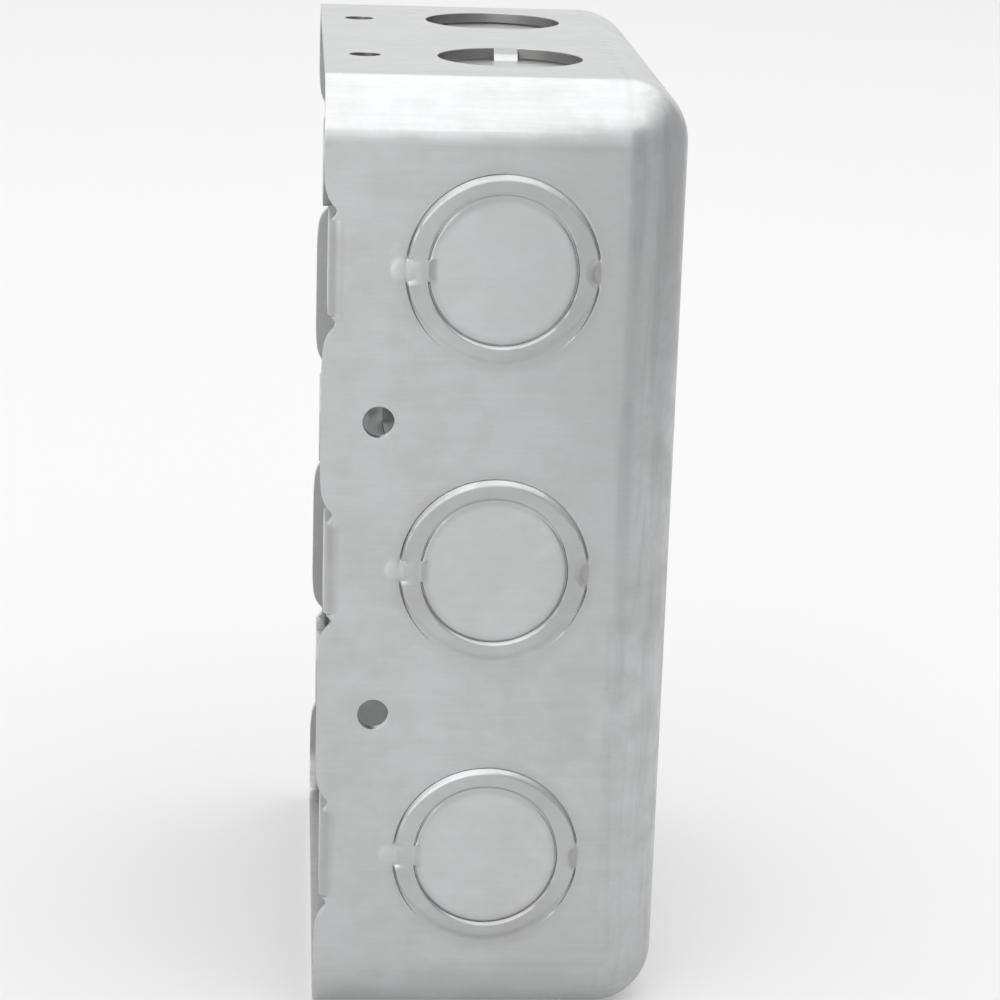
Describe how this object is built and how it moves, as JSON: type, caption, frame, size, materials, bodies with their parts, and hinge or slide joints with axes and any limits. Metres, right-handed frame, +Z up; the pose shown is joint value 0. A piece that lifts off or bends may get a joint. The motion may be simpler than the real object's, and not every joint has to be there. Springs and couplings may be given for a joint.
{
  "type": "multi-gang handy box",
  "caption": "Open wiring box drawn from galvanised sheet, with bent-in device tabs at the rim, concentric side knockouts, sunk end knockouts and screw holes.",
  "frame": {"origin": "middle of the lower end wall's outer face, on the surface that the box stands on", "axes": "+Z up along the length, +X from the open rim to the back, Y across the width"},
  "size_m": [0.054, 0.1026, 0.1476],
  "materials": {
    "galvanised_steel": "bright galvanised sheet with faint rolled grain"
  },
  "bodies": {
    "root": {"box_body": "galvanised_steel"}
  },
  "joints": []
}
